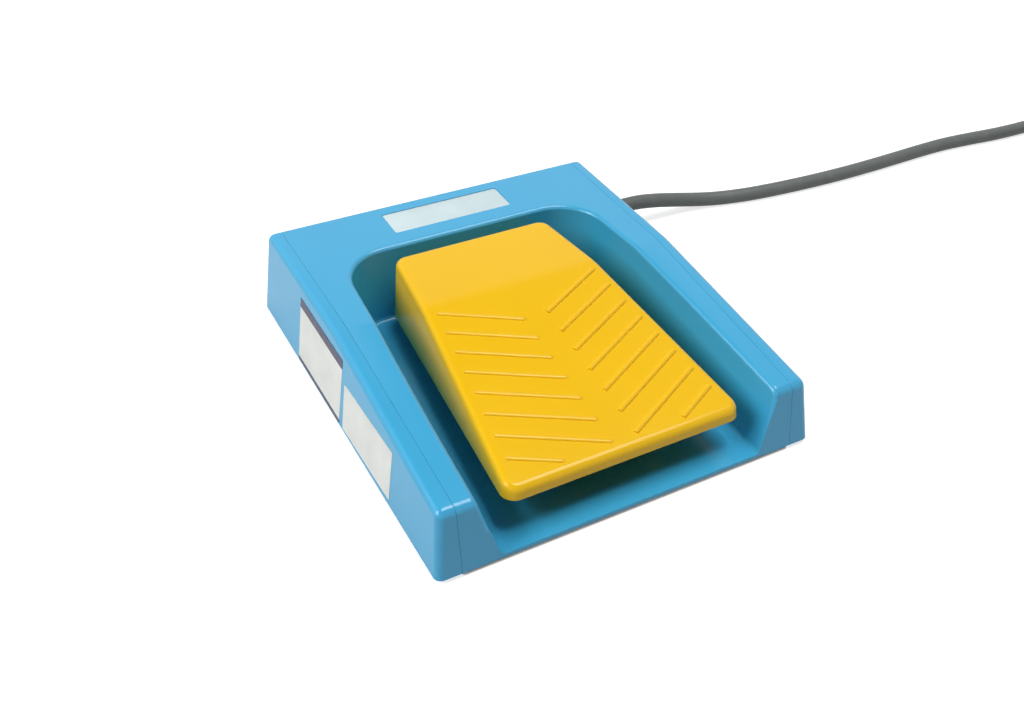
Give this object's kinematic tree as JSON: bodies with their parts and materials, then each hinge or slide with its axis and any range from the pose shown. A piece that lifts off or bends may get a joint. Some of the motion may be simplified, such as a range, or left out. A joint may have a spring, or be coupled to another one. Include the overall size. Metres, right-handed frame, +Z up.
{
  "type": "foot switch",
  "caption": "Low floor foot switch: a sloped ribbed treadle pedal hinged in a guarded blue housing works a sealed switch through a plunger, on a long grey lead with a plug.",
  "frame": {"origin": "on the ground, in the middle of the housing's width and depth", "axes": "+X to the side the lead leaves, +Y from the toe end to the rear, +Z up"},
  "size_m": [0.5515, 0.174, 0.0383],
  "materials": {
    "body_blue": "satin moulded blue plastic",
    "gasket": "matt black rubber",
    "sheet_steel": "pale powder coat",
    "soft_black": "matt black rubber",
    "screw_steel": "zinc plated",
    "plate_pale": "pale matt sheet",
    "pedal_yellow": "glossy moulded yellow plastic",
    "shaft_steel": "ground steel",
    "bronze": "plain bronze",
    "spring_steel": "dark spring steel",
    "acetal": "white acetal",
    "case_black": "black moulding",
    "button_red": "red moulding",
    "tinned_brass": "tinned brass",
    "wire_black": "insulated wire",
    "block_white": "white moulding",
    "cord_grey": "dark grey sheath",
    "tie_black": "black woven strap",
    "plug_metal": "satin nickel",
    "contact_gold": "plated contacts"
  },
  "bodies": {
    "base": {"housing": "body_blue", "left_cheek": "body_blue", "right_cheek": "body_blue", "base_gasket": "gasket", "base_plate": "sheet_steel", "rubber_feet": "soft_black", "base_screws": "screw_steel", "deck_plate": "plate_pale", "hinge_bushes": "bronze", "return_spring": "spring_steel", "stop_bumpers": "soft_black", "rest_bumpers": "soft_black", "plunger_guide": "bronze", "plunger_boot": "soft_black", "switch_case": "case_black", "switch_terminals": "tinned_brass", "switch_bracket": "screw_steel", "switch_screws": "screw_steel", "bracket_screws": "screw_steel", "switch_leads": "wire_black", "terminal_block": "block_white", "terminal_screws": "tinned_brass", "block_screws": "screw_steel", "cord_cores": "wire_black", "cord_tail": "cord_grey", "strain_relief": "soft_black", "cord_clamp": "acetal", "clamp_screws": "screw_steel", "cord": "cord_grey", "cord_coil": "cord_grey", "cord_end": "cord_grey", "cord_tie": "tie_black", "plug_boot": "soft_black", "plug_shell": "plug_metal", "plug_ring": "plug_metal", "plug_insert": "case_black", "plug_pins": "contact_gold"},
    "pedal": {"pedal": "pedal_yellow", "hinge_shaft": "shaft_steel", "shaft_clips": "spring_steel"},
    "plunger": {"plunger": "acetal"},
    "button": {"switch_button": "button_red"}
  },
  "joints": [
    {"name": "pedal_hinge", "type": "hinge", "parent": "base", "child": "pedal", "pos_m": [0, 0.03499, 0.017], "axis": [1, 0, 0], "range_deg": [0, 5.5], "stiffness_Nm_per_rad": 8.3, "springref_deg": -8.31, "deforming": ["return_spring"]},
    {"name": "plunger_slide", "type": "slide", "parent": "base", "child": "plunger", "axis": [0, 0, -1], "range_m": [0, 0.00175], "deforming": ["plunger_boot"]},
    {"name": "button_slide", "type": "slide", "parent": "base", "child": "button", "axis": [0, 0, -1], "range_m": [0, 0.00175]}
  ],
  "couplings": [
    {"joint": "plunger_slide", "follows": "pedal_hinge", "m_per_rad": 0.018},
    {"joint": "button_slide", "follows": "pedal_hinge", "m_per_rad": 0.018}
  ]
}
